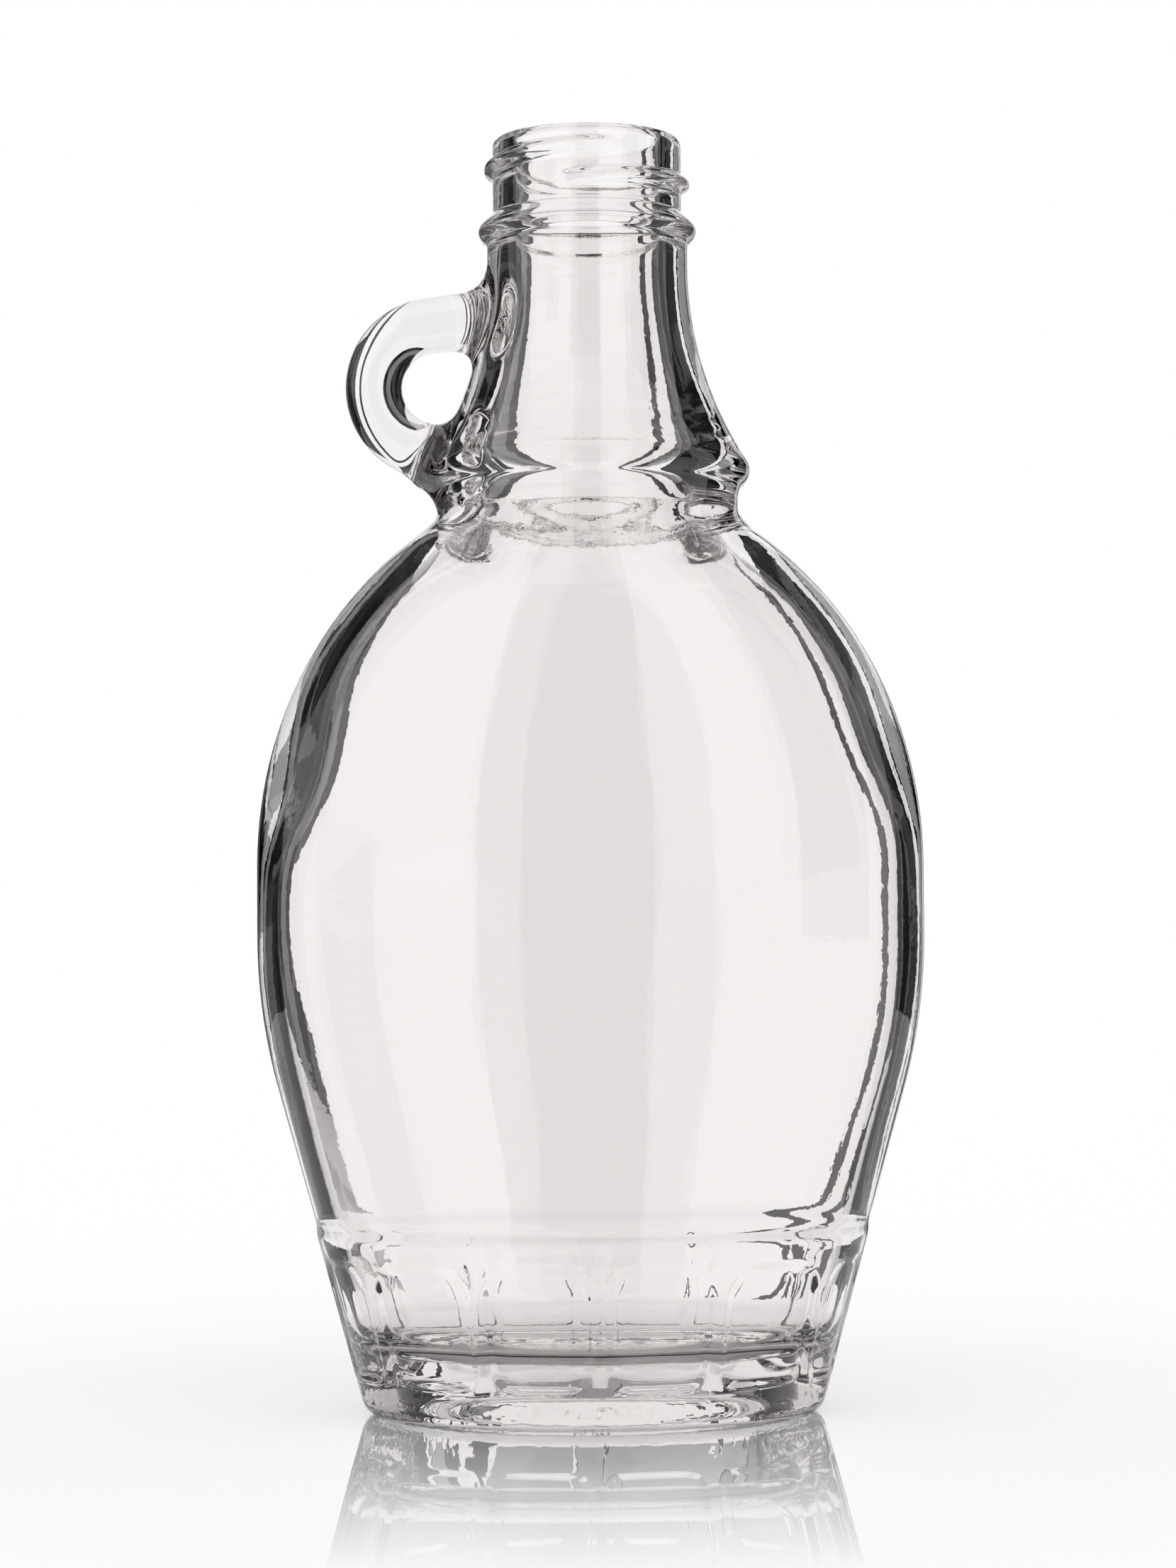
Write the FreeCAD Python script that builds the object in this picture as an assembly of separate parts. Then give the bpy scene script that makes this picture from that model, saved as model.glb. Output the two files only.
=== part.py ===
"""Clear glass syrup bottle: oval flask body, fluted foot, loop handle and screw-thread mouth.

The bottle is blown from one piece of glass, so its named regions are modelled as separate solids that
meet face to face. Millimetres, +Z up, origin on the floor in the middle of the oval foot. The handle is on
the -X side and the broad front faces -Y.
"""
import FreeCAD
import Part
import math
import os

Vector = FreeCAD.Vector
UP = Vector(0, 0, 1)
CENTRE_LINE = Vector(0, 0, 0)

# Heights above the floor
heel_top = 5.5
flutes_top = 20.3
band_top = 24.3
taper_top = 42.5
belly_low = 63.0
belly_high = 72.0
wall_top = 98.0
crease_height = 121.1
flare_top = 152.0
bead_bottom = 155.0
bead_top = 158.9
rim_bottom = 167.6
total_height = 169.0

# Oval body, as half widths along X and half depths along Y
belly_half_width = 44.26
belly_half_depth = 23.4
shoulder_rise_side = 51.2
shoulder_rise_front = 75.0
belly_side_radius = 75.5
label_low_half_depth = 21.8
crease_radius = 19.9
crease_blend = 3.4

# Fluted foot: the band, ribs and heel share one tapering oval
foot_half_width = 30.1
foot_half_depth = 21.45
foot_side_slope = 0.27
foot_front_slope = 0.035
heel_radius = 2.5
flute_depth = 0.6
rib_width = 3.0
rib_angles_of_a_quarter = (0.0, 27.0, 57.0, 90.0)
flute_top_corner = 4.0
flute_low_corner = 2.0
flute_overrun = 0.5

# Glass thickness and the inside
side_wall = 3.0
front_wall = 3.2
crease_wall = 5.7
front_step_low = 106.0
front_step_run = 12.0
floor_height = 8.6
inside_heel_radius = 5.0
bearing_width = 3.2
push_up_height = 3.5
push_up_run = 6.0

# Neck, in radii
neck_radius = 13.4
flare_radius = 48.0
ring_radius = 21.5
ring_nose_radius = 2.6
ring_nose_end = math.radians(60)
neck_inside = ((14.2, crease_height), (13.6, 125.0), (12.8, 129.3), (11.7, 134.0), (10.4, 140.4), (9.65, 148.0))

# Screw-thread mouth
mouth_radius = 9.6
finish_radius = 12.6
bead_radius = 14.6
bead_widest = 156.4
bead_over = (14.0, 157.6)
rim_outer_rounding = 0.75
rim_inner_rounding = 0.8
thread_radius = 13.7
thread_pitch = 4.2
thread_mid_height = 162.9
thread_start = -113.0
thread_end = 293.0
thread_fade = 30.0
thread_step = 14.0
thread_foot_half = 1.25
thread_crest_half = 0.5
thread_bury = 0.3

# Loop handle, a bent rod in the XZ plane: an arc that leaves the loop straight at both ends
loop_centre = Vector(-20.1, 0, 135.75)
loop_radius = 8.45
rod_half_thickness = 3.75
rod_half_depth = 3.9
upper_arm_angle = math.radians(97)
upper_arm_end = -11.0
upper_root_radius = 3.6
lower_arm_angle = math.radians(240)
lower_arm_end = -15.7


def smooth_max(first, second, blend):
    """The larger of two values, rounded over while they differ by less than the blend."""
    closeness = max(0.0, 1 - abs(first - second) / blend)
    return max(first, second) + closeness**2 * blend / 4


def ellipse_arm(reach, rise, height):
    """Half width of an upright half ellipse at a height above its middle."""
    return reach * math.sqrt(max(0.0, 1 - (height / rise) ** 2))


def label_half_width(z):
    """Side outline from the band to the crease: straight taper, belly arc, upright belly, shoulder."""
    if z >= belly_high:
        shoulder = ellipse_arm(belly_half_width, shoulder_rise_side, z - belly_high)
        return smooth_max(shoulder, crease_radius, crease_blend) if z < crease_height else crease_radius
    if z >= belly_low:
        return belly_half_width
    arc_drop = belly_low - max(z, taper_top)
    arc_height = math.sqrt(belly_side_radius**2 - arc_drop**2)
    taper_slope = (belly_low - taper_top) / math.sqrt(belly_side_radius**2 - (belly_low - taper_top) ** 2)
    straight = taper_slope * max(0.0, taper_top - z)
    return belly_half_width - (belly_side_radius - arc_height) - straight


def label_half_depth(z):
    """Front outline from the band to the crease."""
    if z >= belly_high:
        shoulder = ellipse_arm(belly_half_depth, shoulder_rise_front, z - belly_high)
        return smooth_max(shoulder, crease_radius, crease_blend) if z < crease_height else crease_radius
    drop = (belly_high - z) / (belly_high - band_top)
    return belly_half_depth - (belly_half_depth - label_low_half_depth) * drop**2


def foot_size(z, inset=0.0):
    """Half width and half depth of the foot's tapering oval."""
    return foot_half_width + foot_side_slope * z - inset, foot_half_depth + foot_front_slope * z - inset


def wall_sizes(z):
    """Thickness of the sides, which grows up the shoulder, and of the broad faces, which steps up below the crease."""
    climb = max(0.0, (z - belly_high) / (crease_height - belly_high)) ** 1.5
    step = min(1.0, max(0.0, (z - front_step_low) / front_step_run))
    side = side_wall + (crease_wall - side_wall) * climb
    front = front_wall + (crease_wall - front_wall) * step * step * (3 - 2 * step)
    return side, front


def inside_size(z):
    """Half width and half depth of the cavity."""
    if z >= band_top:
        width, depth = label_half_width(z), label_half_depth(z)
    else:
        width, depth = foot_size(z, flute_depth)
    above_floor = z - floor_height
    inset = 0.0
    if above_floor < inside_heel_radius:
        drop = inside_heel_radius - above_floor
        inset = inside_heel_radius - math.sqrt(inside_heel_radius**2 - drop**2)
    if z >= crease_height:
        return neck_inside[0][0], neck_inside[0][0]
    side, front = wall_sizes(z)
    return width - side - inset, depth - front - inset


def oval(z, size):
    """Closed oval wire of a half width and half depth at a height."""
    width, depth = size
    middle = Vector(0, 0, z)
    if abs(width - depth) < 1e-6:
        return Part.Wire(Part.Circle(middle, UP, width).toShape())
    if width > depth:
        return Part.Wire(Part.Ellipse(middle, width, depth).toShape())
    return Part.Wire(Part.Ellipse(middle + Vector(0, depth, 0), middle + Vector(width, 0, 0), middle).toShape())


def skin(heights, size_at, ruled=False):
    """Solid lofted through ovals whose size follows a formula."""
    return Part.makeLoft([oval(z, size_at(z)) for z in heights], True, ruled)


def slab(low, high):
    """Everything between two heights."""
    reach = 3 * belly_half_width
    return Part.makeBox(2 * reach, 2 * reach, high - low, Vector(-reach, -reach, low))


def line(start, end):
    return Part.LineSegment(start, end).toShape()


def arc(start, middle, end):
    return Part.Arc(start, middle, end).toShape()


def at(radius, z):
    """Point of a turned profile."""
    return Vector(radius, 0, z)


def turned(edges):
    """Solid of revolution about the bottle's axis from a closed chain of edges."""
    face = Part.Face(Part.Wire(Part.__sortEdges__(edges)))
    return face.revolve(CENTRE_LINE, UP, 360)


def on_arc(middle, radius, angle):
    return at(middle.x + radius * math.cos(angle), middle.z + radius * math.sin(angle))


def neck_outline():
    """Outside of neck and neck ring, from the crease up, and the height where the ring's nose starts."""
    flare_middle = at(neck_radius + flare_radius, flare_top)
    nose_x = ring_radius - ring_nose_radius
    reach = flare_radius + ring_nose_radius
    nose_middle = at(nose_x, flare_top - math.sqrt(reach**2 - (flare_middle.x - nose_x) ** 2))
    touch = flare_middle + (nose_middle - flare_middle) * (flare_radius / reach)
    touch_angle = math.atan2(touch.z - nose_middle.z, touch.x - nose_middle.x)
    under = on_arc(nose_middle, ring_nose_radius, -ring_nose_end)
    nose_peak = on_arc(nose_middle, ring_nose_radius, (touch_angle - ring_nose_end) / 2)
    flare_start = at(neck_radius, flare_top)
    flare_angle = math.atan2(touch.z - flare_middle.z, touch.x - flare_middle.x)
    flare_turn = (flare_angle - math.pi) / 2 if flare_angle > 0 else (flare_angle + math.pi) / 2
    flare_bend = on_arc(flare_middle, flare_radius, math.pi + flare_turn)
    edges = [
        line(at(crease_radius, crease_height), under),
        arc(under, nose_peak, touch),
        arc(touch, flare_bend, flare_start),
        line(flare_start, at(neck_radius, bead_bottom)),
    ]
    return edges, touch.z


def neck_solids():
    """Neck and neck ring as hollow solids, and the same outline filled, which trims the handle."""
    outline, ring_top = neck_outline()
    top_out = at(neck_radius, bead_bottom)
    top_in = at(mouth_radius, bead_bottom)
    low_out = at(crease_radius, crease_height)
    low_in = at(neck_inside[0][0], crease_height)
    bore = Part.BSplineCurve()
    bore.interpolate([at(*point) for point in neck_inside] + [top_in])
    hollow = turned(outline + [line(top_out, top_in), bore.toShape(), line(low_in, low_out)])
    axis_top = at(0, bead_bottom)
    axis_low = at(0, crease_height)
    filled = turned(outline + [line(top_out, axis_top), line(axis_top, axis_low), line(axis_low, low_out)])
    ring = hollow.common(slab(crease_height, ring_top))
    neck = hollow.common(slab(ring_top, bead_bottom))
    return neck, ring, filled


def finish_wall_solid():
    """Plain tube of the mouth that the thread and the bead stand on."""
    height = rim_bottom - bead_bottom
    tube = Part.makeCylinder(finish_radius, height, at(0, bead_bottom), UP)
    return tube.cut(Part.makeCylinder(mouth_radius, height, at(0, bead_bottom), UP))


def mouth_rim_solid():
    """Sealing rim, flat on top with both edges rounded."""
    bend = 1 - math.sqrt(0.5)
    out_low = at(finish_radius, total_height - rim_outer_rounding)
    out_high = at(finish_radius - rim_outer_rounding, total_height)
    out_bend = at(finish_radius - bend * rim_outer_rounding, total_height - bend * rim_outer_rounding)
    in_low = at(mouth_radius, total_height - rim_inner_rounding)
    in_high = at(mouth_radius + rim_inner_rounding, total_height)
    in_bend = at(mouth_radius + bend * rim_inner_rounding, total_height - bend * rim_inner_rounding)
    base_out = at(finish_radius, rim_bottom)
    base_in = at(mouth_radius, rim_bottom)
    return turned([
        line(base_out, out_low),
        arc(out_low, out_bend, out_high),
        line(out_high, in_high),
        arc(in_high, in_bend, in_low),
        line(in_low, base_in),
        line(base_in, base_out),
    ])


def transfer_bead_solid():
    """Ring below the thread that carries the hot bottle out of the mould."""
    low_in = at(finish_radius, bead_bottom)
    low_out = at(neck_radius, bead_bottom)
    widest = at(bead_radius, bead_widest)
    over = at(*bead_over)
    top = at(finish_radius, bead_top)
    return turned([line(low_in, low_out), arc(low_out, widest, over), line(over, top), line(top, low_in)])


def thread_section(angle, growth):
    """Thread cross-section at an angle, standing out by a share of the full height."""
    turn = FreeCAD.Rotation(UP, angle)
    middle = thread_mid_height + thread_pitch * angle / 360
    foot = finish_radius - thread_bury
    crest = finish_radius + (thread_radius - finish_radius) * growth
    corners = (
        (foot, -thread_foot_half),
        (crest, -thread_crest_half),
        (crest, thread_crest_half),
        (foot, thread_foot_half),
    )
    points = [turn.multVec(at(radius, middle + offset)) for radius, offset in corners]
    return Part.makePolygon(points + points[:1])


def screw_thread_solid(tube):
    """Right-hand thread of a little over one turn, fading in and out of the wall."""
    steps = round((thread_end - thread_start) / thread_step)
    sections = []
    for step in range(steps + 1):
        angle = thread_start + (thread_end - thread_start) * step / steps
        from_end = min(angle - thread_start, thread_end - angle)
        growth = 0.15 + 0.85 * min(1.0, from_end / thread_fade)
        sections.append(thread_section(angle, growth))
    ridge = Part.makeLoft(sections, True, False)
    return ridge.cut(tube)


def arm_end(bend, angle, end_x):
    """End of the straight arm that leaves the loop at a bend, where the arm reaches a distance from the axis."""
    way = Vector(math.sin(angle), 0, -math.cos(angle))
    return bend + way * ((end_x - bend.x) / way.x)


def handle_solid(neck_filled, shoulder_filled):
    """Bent rod from the neck to the neck ring, trimmed where it meets the glass of the neck."""
    top = on_arc(loop_centre, loop_radius, upper_arm_angle)
    left = loop_centre - Vector(loop_radius, 0, 0)
    low = on_arc(loop_centre, loop_radius, lower_arm_angle)
    start = arm_end(top, upper_arm_angle, upper_arm_end)
    end = arm_end(low, lower_arm_angle, lower_arm_end)
    path = Part.Wire([line(start, top), arc(top, left, low), line(low, end)])
    thick = Vector(math.cos(upper_arm_angle), 0, math.sin(upper_arm_angle)) * rod_half_thickness
    section = Part.Ellipse(start + Vector(0, rod_half_depth, 0), start + thick, start)
    rod = path.makePipeShell([Part.Wire(section.toShape())], True, True)
    joined = neck_filled.fuse(rod)
    root = [edge for edge in joined.Edges if is_upper_root(edge.BoundBox)]
    return joined.makeFillet(upper_root_radius, root).cut(neck_filled).cut(shoulder_filled)


def is_upper_root(box):
    """True for the edge where the upper arm of the handle meets the neck."""
    beside_neck = box.XMax < upper_arm_end and box.XMin > loop_centre.x
    return beside_neck and box.ZMin > loop_centre.z and box.XLength > 0.1


def foot_point(angle, z):
    """Point of the foot's outside at an oval angle counted from the front, and its outward direction."""
    width, depth = foot_size(z)
    point = Vector(width * math.sin(angle), -depth * math.cos(angle), z)
    outward = Vector(math.sin(angle) / width, -math.cos(angle) / depth, 0)
    return point, outward.normalize()


def rib_angles():
    """Oval angles of all the ribs, from the angles of one quarter."""
    quarter = rib_angles_of_a_quarter
    half = list(quarter) + [180 - angle for angle in reversed(quarter[:-1])]
    whole = half + [360 - angle for angle in reversed(half[1:-1])]
    return [math.radians(angle) for angle in whole]


def flute_cutter(first, second):
    """Prism that clears one recessed panel between two ribs."""
    middle_height = (heel_top + flutes_top) / 2
    origin, outward = foot_point((first + second) / 2, middle_height)
    along = UP.cross(outward)
    reach = 2 * rib_width
    corners = []
    for angle, z, side in (
        (first, heel_top, 1),
        (second, heel_top, -1),
        (second, flutes_top + flute_overrun, -1),
        (first, flutes_top + flute_overrun, 1),
    ):
        offset = (foot_point(angle, z)[0] - origin).dot(along) + side * rib_width / 2
        corners.append(origin + along * offset + UP * (z - middle_height) - outward * reach)
    prism = Part.Face(Part.makePolygon(corners + corners[:1])).extrude(outward * 2 * reach)
    for radius, level in ((flute_top_corner, flutes_top + flute_overrun), (flute_low_corner, heel_top)):
        ends = [edge for edge in prism.Edges if all(abs(v.Z - level) < 1e-6 for v in edge.Vertexes)]
        ends = [edge for edge in ends if edge.tangentAt(edge.FirstParameter).cross(outward).Length < 1e-6]
        prism = prism.makeFillet(radius, ends)
    return prism


def foot_solids(cavity):
    """Base plate, heel ring, fluted wall, its ribs, and the band above them."""
    cone = skin((0.0, band_top), foot_size, True)
    floor_edge = [edge for edge in cone.Edges if abs(edge.BoundBox.ZMax) < 1e-6]
    cone = cone.makeFillet(heel_radius, floor_edge)
    bearing_in = [side - heel_radius - bearing_width for side in foot_size(0.0)]
    push_up_top = [side - push_up_run for side in bearing_in]
    push_up = Part.makeLoft([oval(0.0, bearing_in), oval(push_up_height, push_up_top)], True, True)
    glass = cone.cut(cavity).cut(push_up)
    plug = Part.Face(oval(0.0, bearing_in)).extrude(UP * (floor_height + inside_heel_radius))
    base_plate = glass.common(plug)
    ring = glass.cut(plug)
    heel_ring = ring.common(slab(0.0, heel_top))
    band = ring.common(slab(flutes_top, band_top))
    recessed = skin((heel_top, flutes_top), lambda z: foot_size(z, flute_depth), True)
    zone = ring.common(slab(heel_top, flutes_top))
    fluted_wall = zone.common(recessed)
    ribs = zone.cut(recessed)
    angles = rib_angles()
    for first, second in zip(angles, angles[1:] + [angles[0] + 2 * math.pi]):
        ribs = ribs.cut(flute_cutter(first, second))
    return base_plate, heel_ring, fluted_wall, ribs, band


def body_solids(outside, cavity):
    """Front and back walls of the flask, meeting at the mould's parting plane, and the shoulder above."""
    wall = outside.common(slab(band_top, wall_top)).cut(cavity)
    reach = 3 * belly_half_width
    front_half = Part.makeBox(2 * reach, reach, total_height, Vector(-reach, -reach, 0))
    shoulder = outside.common(slab(wall_top, crease_height)).cut(cavity)
    return wall.common(front_half), wall.cut(front_half), shoulder


def cavity_solid():
    """Inside of the bottle from its floor to the crease."""
    heel_steps = 5
    heel = [floor_height + inside_heel_radius * (step / heel_steps) ** 2 for step in range(heel_steps + 1)]
    low = skin(heel, inside_size)
    foot = skin((heel[-1], band_top), inside_size, True)
    body = skin(label_heights(), inside_size)
    return low.fuse(foot).fuse(body)


def label_heights():
    """Heights of the ovals that carry the loft from the band to the crease."""
    taper = [band_top, 33.0, taper_top, 52.0, belly_low, belly_high]
    shoulder = [82.0, 92.0, 101.0, 107.5, 112.5, 116.0, 118.5, crease_height]
    return taper + shoulder


def main():
    cavity = cavity_solid()
    outside = skin(label_heights(), lambda z: (label_half_width(z), label_half_depth(z)))
    neck, neck_ring, neck_filled = neck_solids()
    finish_wall = finish_wall_solid()
    body_front, body_back, shoulder = body_solids(outside, cavity)
    base_plate, heel_ring, fluted_wall, flute_ribs, base_band = foot_solids(cavity)
    pieces = {
        "mouth_rim": mouth_rim_solid(),
        "finish_wall": finish_wall,
        "screw_thread": screw_thread_solid(finish_wall),
        "transfer_bead": transfer_bead_solid(),
        "neck": neck,
        "neck_ring": neck_ring,
        "handle_loop": handle_solid(neck_filled, outside),
        "shoulder": shoulder,
        "body_front": body_front,
        "body_back": body_back,
        "base_band": base_band,
        "flute_ribs": flute_ribs,
        "fluted_wall": fluted_wall,
        "heel_ring": heel_ring,
        "base_plate": base_plate,
    }
    os.makedirs("parts", exist_ok=True)
    glass = 0.0
    for name, shape in pieces.items():
        shape.exportStep(os.path.join("parts", name + ".step"))
        glass += shape.Volume
        print(name, "solids", len(shape.Solids), "valid", shape.isValid(), "volume", round(shape.Volume, 1))
    print("glass", round(glass / 1000, 1), "ml, cavity to the crease", round(cavity.Volume / 1000, 1), "ml")


main()
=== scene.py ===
# %% [markdown]
# # A clear glass syrup bottle
# The bottle is one piece of clear glass, blown in a two-part mould: an oval flask on a fluted
# foot, a flared neck with a ring at its root, a loop handle and a screw mouth. Glass shows its
# shape by bending the light, and every wall that the eye looks through counts, so the whole
# bottle is made here as one closed skin, outside and inside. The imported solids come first, as a
# fixed frame: the skin takes their place and repeats their sizes.

# %% Load the frame
import math

import bpy
import numpy as np
from mathutils import Matrix


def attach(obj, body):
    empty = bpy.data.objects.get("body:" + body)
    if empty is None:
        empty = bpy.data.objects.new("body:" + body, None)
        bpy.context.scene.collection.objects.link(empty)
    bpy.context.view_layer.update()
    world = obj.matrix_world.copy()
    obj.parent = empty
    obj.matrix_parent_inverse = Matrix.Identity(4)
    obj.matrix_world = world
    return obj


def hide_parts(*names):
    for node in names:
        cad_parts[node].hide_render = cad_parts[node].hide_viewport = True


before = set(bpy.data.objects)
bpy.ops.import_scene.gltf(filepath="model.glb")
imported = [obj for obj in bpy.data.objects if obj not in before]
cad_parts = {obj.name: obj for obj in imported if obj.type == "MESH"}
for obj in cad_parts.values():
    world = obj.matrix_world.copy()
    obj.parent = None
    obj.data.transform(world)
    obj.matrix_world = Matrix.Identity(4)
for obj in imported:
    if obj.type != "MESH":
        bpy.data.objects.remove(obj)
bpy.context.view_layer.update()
print("solids in the frame:", sorted(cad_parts))

# %% [markdown]
# ## The wall as a ribbon
# A lathe could turn a round bottle from one outline. This one is oval, so its outline is a ribbon
# of ovals: each row of the ribbon holds a half width, a half depth and a height. The ribbon
# starts in the middle of the underside, climbs the outside, rolls over the rim and comes down the
# inside to the middle of the floor. Sizes are in millimetres until the mesh is made, and each run
# of the ribbon says how close its rows should lie.

# %% Ribbon helpers
ribbon = []


def lay(width, depth, height, spacing):
    """Add a run of ovals to the ribbon, with the row spacing it needs."""
    run = np.broadcast_arrays(width, depth, height, spacing)
    ribbon.append(np.column_stack(run).astype(float))


def ease(share):
    """Smooth step from 0 to 1."""
    share = np.clip(share, 0, 1)
    return share * share * (3 - 2 * share)


def rounded_max(first, second, blend):
    """The larger of two values, rounded over while they differ by less than the blend."""
    closeness = np.clip(1 - np.abs(first - second) / blend, 0, None)
    return np.maximum(first, second) + closeness**2 * blend / 4


def half_ellipse(reach, rise, height):
    """Half width of an upright half ellipse at a height above its middle."""
    return reach * np.sqrt(np.clip(1 - (height / rise) ** 2, 0, None))


print("runs on the ribbon so far:", len(ribbon))

# %% [markdown]
# ## Foot
# The bottle stands on a narrow ring, with the middle of the underside pushed up so that it can't
# rock. The foot is a tapering oval with a small round at the heel. It carries the flutes, which
# are pressed into it further down, so its rows lie closer where the flutes end.

# %% Underside and standing ring
foot_half_width, foot_side_slope = 30.1, 0.27
foot_half_depth, foot_front_slope = 21.45, 0.035
heel_radius = 2.5
bearing_width = 3.2
push_up_height = 3.5
push_up_run = 6.0


def heel_middle(reach, slope):
    """Where the heel's round is centred, so that it meets the floor and the leaning wall."""
    return reach + slope * heel_radius - heel_radius * math.hypot(1, slope)


bearing_out = np.array([heel_middle(foot_half_width, foot_side_slope),
                        heel_middle(foot_half_depth, foot_front_slope)])
bearing_in = bearing_out - bearing_width
share = np.linspace(0, 1, 80)
hollow = push_up_height * ease((1 - share) * bearing_in[1] / push_up_run)
lay(bearing_in[0] * share, bearing_in[1] * share, hollow, 1.5)
across = bearing_width * np.linspace(0, 1, 9)[1:]
lay(bearing_in[0] + across, bearing_in[1] + across, 0.0, 0.8)
print("standing ring, half width and half depth:", bearing_out.round(2))

# %% Heel and foot
heel_top = 2.6
foot_top = 23.7
flute_low, flute_high = 5.5, 20.3
flute_low_reach, flute_high_reach = 0.9, 1.0


def foot_outline(reach, slope, z):
    """Half size of the foot at a height, with the rounded heel."""
    lean_height = heel_radius * (1 - slope / math.hypot(1, slope))
    round_part = heel_middle(reach, slope) + half_ellipse(heel_radius, heel_radius, z - heel_radius)
    return np.where(z < lean_height, round_part, reach + slope * z)


heel_climb = heel_radius * (1 - np.cos(np.linspace(0.03, 1.45, 30)))
climb = np.concatenate([heel_climb, np.linspace(heel_top, foot_top, 100)])
foot_width = foot_outline(foot_half_width, foot_side_slope, climb)
foot_depth = foot_outline(foot_half_depth, foot_front_slope, climb)
at_low_end = np.abs(climb - flute_low) < flute_low_reach
at_high_end = np.abs(climb - flute_high) < flute_high_reach
plain_spacing = np.where(climb < heel_top, 0.35, 0.62)
lay(foot_width, foot_depth, climb, np.where(at_low_end | at_high_end, 0.26, plain_spacing))
print("top of the foot, half width and half depth:",
      foot_width[-1].round(2), foot_depth[-1].round(2))

# %% [markdown]
# ## Flask body
# Seen from the front the body is a flask: a straight taper out of the foot, an upright belly and
# a long elliptical shoulder. Seen from the side it is nearly flat. Two outlines, one for the
# width and one for the depth, say it all.

# %% Width of the flask
taper_top = 42.5
belly_low = 63.0
belly_high = 72.0
belly_half_width = 44.26
belly_side_radius = 75.5
shoulder_rise_side = 51.2
crease_radius = 19.9
crease_blend = 3.4


def side_outline(z):
    """Half width of the flask at a height."""
    shoulder = half_ellipse(belly_half_width, shoulder_rise_side, z - belly_high)
    shoulder = rounded_max(shoulder, crease_radius, crease_blend)
    taper_drop = belly_low - taper_top
    drop = np.clip(belly_low - z, 0, taper_drop)
    belly = belly_half_width - belly_side_radius + np.sqrt(belly_side_radius**2 - drop**2)
    taper_slope = taper_drop / math.sqrt(belly_side_radius**2 - taper_drop**2)
    taper = taper_slope * np.clip(taper_top - z, 0, None)
    return np.where(z > belly_high, shoulder, belly - taper)


print("half width at the end of the taper:", side_outline(taper_top).round(2))

# %% Depth of the flask, and its rows
band_top = 24.3
label_start = 25.0
label_low_half_depth = 21.8
belly_half_depth = 23.39
shoulder_rise_front = 75.0
crease_height = 121.1
plain_low, plain_high = 27.0, 118.0


def front_outline(z):
    """Half depth of the flask at a height."""
    shoulder = half_ellipse(belly_half_depth, shoulder_rise_front, z - belly_high)
    shoulder = rounded_max(shoulder, crease_radius, crease_blend)
    drop = (belly_high - z) / (belly_high - band_top)
    belly = belly_half_depth - (belly_half_depth - label_low_half_depth) * drop**2
    return np.where(z > belly_high, shoulder, belly)


climb = np.linspace(label_start, crease_height, 400)
is_plain = (climb > plain_low) & (climb < plain_high)
lay(side_outline(climb), front_outline(climb), climb, np.where(is_plain, 2.0, 0.35))
print("belly, half width and half depth:",
      side_outline(climb).max().round(2), front_outline(climb).max().round(2))

# %% [markdown]
# ## Neck and mouth
# From the crease up everything is round. The neck ring has a rounded nose, the neck flares in one
# long arc, and a bead under the thread is where the hot bottle was carried. The mouth ends in a
# rim that is flat on top.

# %% Neck ring and neck
flare_top = 152.0
neck_radius = 13.4
flare_radius = 48.0
ring_radius = 21.5
ring_nose_radius = 2.6
ring_nose_start = -math.pi / 3
bead_bottom = 155.0

flare_middle = np.array([neck_radius + flare_radius, flare_top])
nose_x = ring_radius - ring_nose_radius
nose_aside = flare_middle[0] - nose_x
nose_drop = math.sqrt((flare_radius + ring_nose_radius) ** 2 - nose_aside**2)
nose_middle = np.array([nose_x, flare_top - nose_drop])
touch_angle = math.atan2(nose_drop, nose_aside)


def arc_rows(middle, radius, start, end, spacing):
    """Lay a round run along an arc, with angles counted from the outward direction."""
    turn = np.linspace(start, end, 120)
    reach = middle[0] + radius * np.cos(turn)
    lay(reach, reach, middle[1] + radius * np.sin(turn), spacing)


arc_rows(nose_middle, ring_nose_radius, ring_nose_start, touch_angle, 0.4)
arc_rows(flare_middle, flare_radius, math.pi + touch_angle, math.pi, 0.75)
lay(neck_radius, neck_radius, np.linspace(flare_top, bead_bottom, 12)[1:], 0.5)
print("neck ring nose at", nose_middle.round(2))

# %% Bead, thread wall and rim
finish_radius = 12.6
finish_low = 159.3
mouth_radius = 9.6
total_height = 169.0
rim_outer_rounding = 0.75
rim_inner_rounding = 0.8
bead_outline = np.array([(14.05, 155.35), (14.6, 156.4), (14.5, 157.1), (14.0, 157.7),
                         (12.6, 158.9)])

lay(bead_outline[:, 0], bead_outline[:, 0], bead_outline[:, 1], 0.25)
rim_low = total_height - rim_outer_rounding
lay(finish_radius, finish_radius, np.linspace(finish_low, rim_low, 30), 0.25)
outer_edge = (finish_radius - rim_outer_rounding, rim_low)
arc_rows(outer_edge, rim_outer_rounding, 0, math.pi / 2, 0.24)
inner_edge = (mouth_radius + rim_inner_rounding, total_height - rim_inner_rounding)
arc_rows(inner_edge, rim_inner_rounding, math.pi / 2, math.pi, 0.24)
print("ribbon rows laid on the outside:", sum(len(run) for run in ribbon))

# %% [markdown]
# ## Inside
# The inside was shaped by air, not by a mould, so it follows the outside loosely: about 3 mm of
# glass all round the belly, nearly twice as much under the neck, and a thick floor with a big
# round where it meets the wall. On the broad faces the glass thickens in a short step below the
# neck ring, which draws crossing lines of light there.

# %% Bore and inner neck
bore_low = 155.0
bore_top = total_height - rim_inner_rounding - 0.4
ring_height, ring_margin = 128.6, 1.3
neck_inside = np.array([(9.6, 155.0), (9.65, 148.0), (10.4, 140.4), (11.7, 134.0), (12.8, 129.3),
                        (13.6, 125.0), (14.2, 121.1)])

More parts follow.
